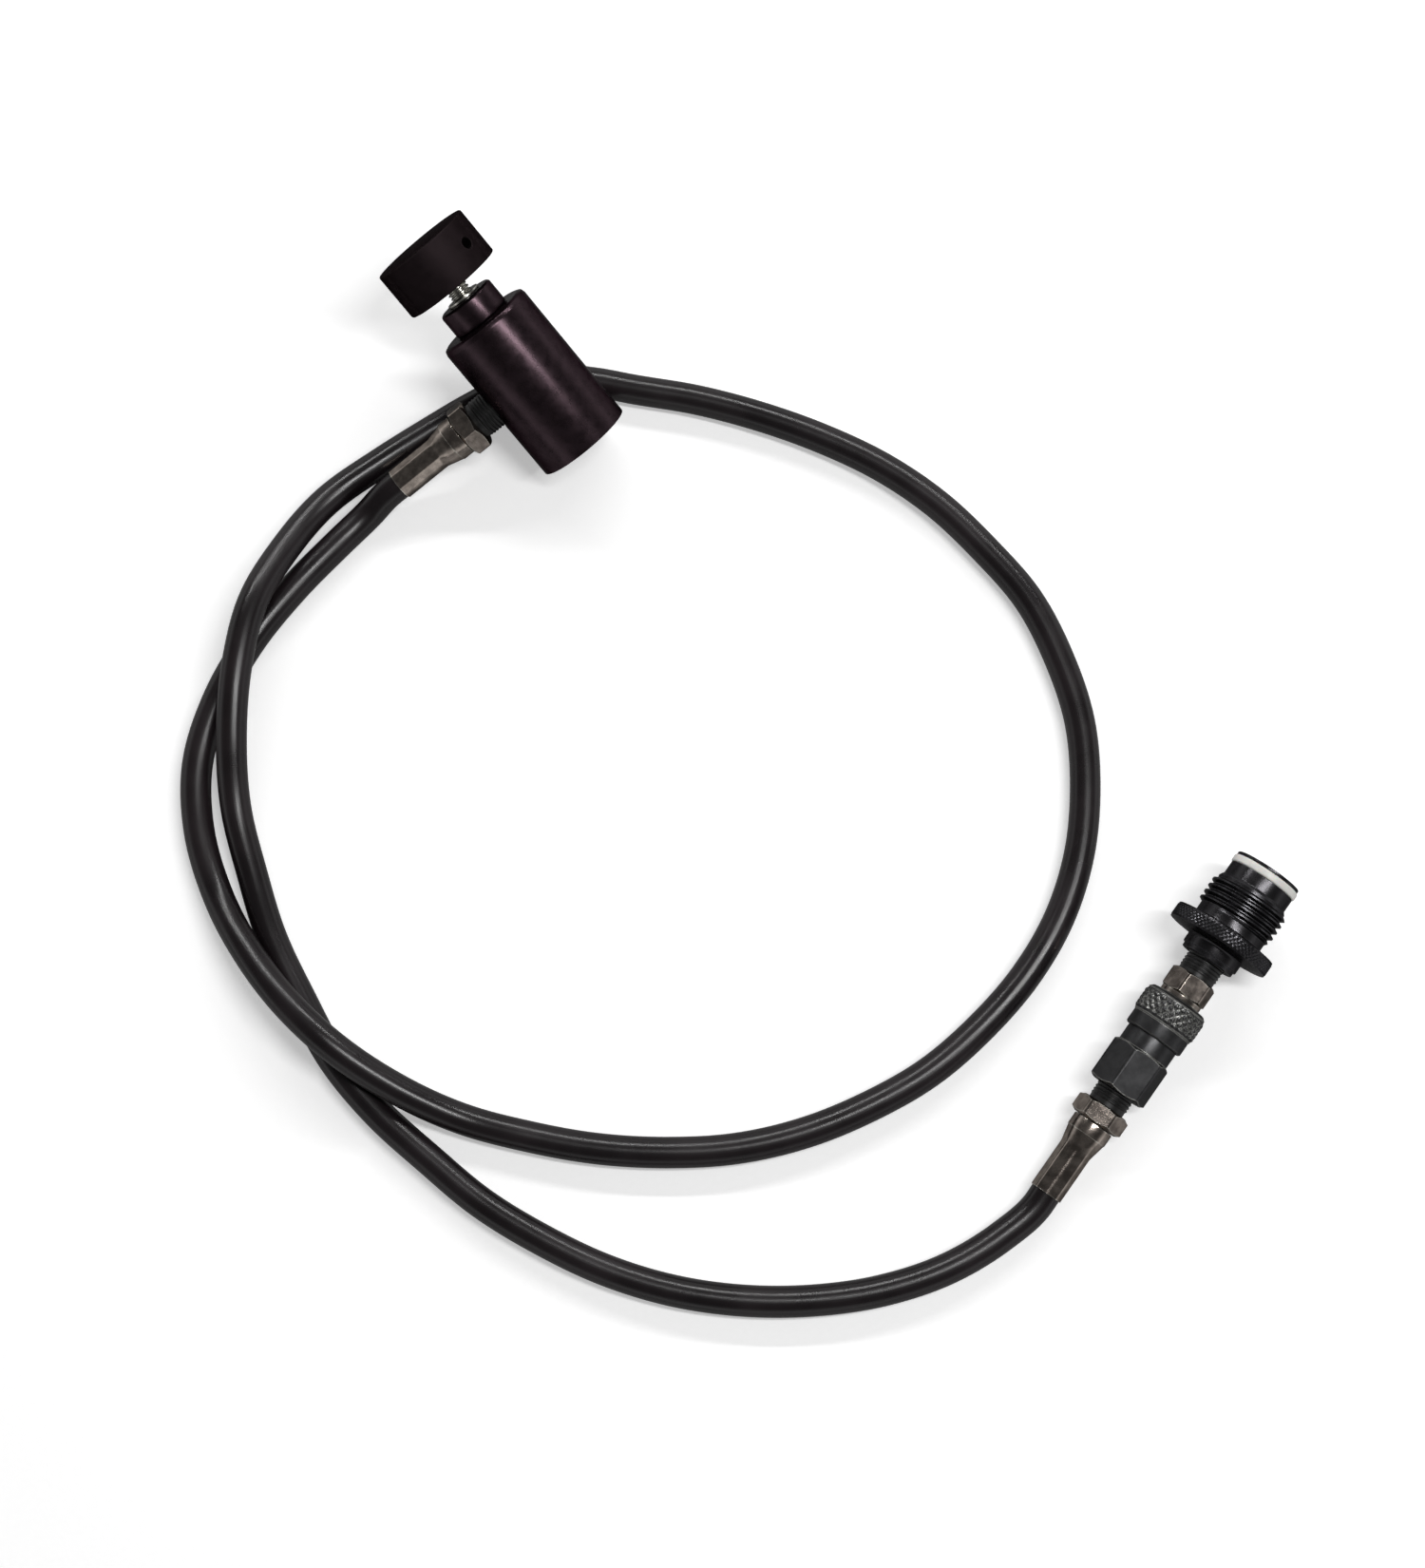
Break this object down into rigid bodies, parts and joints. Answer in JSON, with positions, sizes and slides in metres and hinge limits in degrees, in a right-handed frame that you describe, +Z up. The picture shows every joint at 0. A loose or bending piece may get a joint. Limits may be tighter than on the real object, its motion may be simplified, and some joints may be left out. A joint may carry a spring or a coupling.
{
  "type": "high-pressure air remote line",
  "caption": "Coiled high-pressure air hose with an on/off tank valve at one end and a quick-release coupler carrying a threaded bottle adapter at the other.",
  "frame": {"origin": "centre of the bounding box's bottom face of the valve end and the adapter end, on the surface that the line lies on; the hose is left out of it", "axes": "+Z up; +Y away from the viewer who looks down on the line, so the valve lies at -X +Y and the adapter at +X"},
  "size_m": [0.2833, 0.2776, 0.052],
  "materials": {
    "anodised_plum": "dark plum-brown anodised aluminium, satin",
    "anodised_black": "black anodised aluminium",
    "bright_steel": "bright turned steel",
    "dark_steel": "dark nickel-plated steel, crimped and turned",
    "black_oxide": "black oxide steel, worn at the edges",
    "rubber": "black nitrile rubber",
    "urethane": "off-white urethane",
    "hose_black": "glossy black thermoplastic hose cover"
  },
  "bodies": {
    "line": {"valve_body": "anodised_plum", "bonnet": "anodised_plum", "bonnet_o_ring": "rubber", "stem_washer": "bright_steel", "tank_hose_fitting": "dark_steel", "tank_ferrule": "dark_steel", "tank_hose_end": "hose_black", "hose": "hose_black", "marker_hose_end": "hose_black", "marker_ferrule": "dark_steel", "marker_hose_fitting": "dark_steel", "coupler_body": "black_oxide", "sleeve_snap_ring": "bright_steel", "lock_balls": "bright_steel", "coupler_seal": "rubber"},
    "pusher": {"pin_pusher": "bright_steel"},
    "knob": {"knob": "anodised_black", "stem": "bright_steel", "stem_o_ring": "rubber", "knob_grub_screw": "black_oxide"},
    "sleeve": {"coupler_sleeve": "black_oxide", "sleeve_spring": "bright_steel"},
    "poppet": {"poppet": "bright_steel", "poppet_seal": "rubber", "poppet_spring": "bright_steel"},
    "plug_ring": {"plug_o_ring": "rubber"},
    "plug": {"plug_nipple": "dark_steel", "adapter_body": "anodised_black", "adapter_seal_ring": "urethane"}
  },
  "joints": [
    {"name": "stem_travel", "type": "slide", "parent": "line", "child": "pusher", "axis": [0.6213, -0.6547, -0.4305], "range_m": [0, 0.003]},
    {"name": "knob_turn", "type": "hinge", "parent": "pusher", "child": "knob", "pos_m": [-0.10218, 0.11128, 0.03739], "axis": [0.6213, -0.6547, -0.4305], "range_deg": [0, 1080]},
    {"name": "sleeve_slide", "type": "slide", "parent": "line", "child": "sleeve", "axis": [-0.5765, -0.8082, -0.1201], "range_m": [0, 0.003], "stiffness_N_per_m": 900, "springref_m": -0.003, "deforming": ["sleeve_spring"]},
    {"name": "plug_pull", "type": "slide", "parent": "line", "child": "plug_ring", "axis": [0.5765, 0.8082, 0.1201], "range_m": [0, 0.018]},
    {"name": "plug_swivel", "type": "hinge", "parent": "plug_ring", "child": "plug", "pos_m": [0.08409, -0.07674, 0.01159], "axis": [0.5765, 0.8082, 0.1201], "continuous": true},
    {"name": "poppet_close", "type": "slide", "parent": "line", "child": "poppet", "axis": [0.5765, 0.8082, 0.1201], "range_m": [0, 0.0025], "deforming": ["poppet_spring"]}
  ],
  "couplings": [
    {"joint": "knob_turn", "follows": "stem_travel", "rad_per_m": 6283.2},
    {"joint": "poppet_close", "follows": "plug_pull", "ratio": 0.1388}
  ]
}
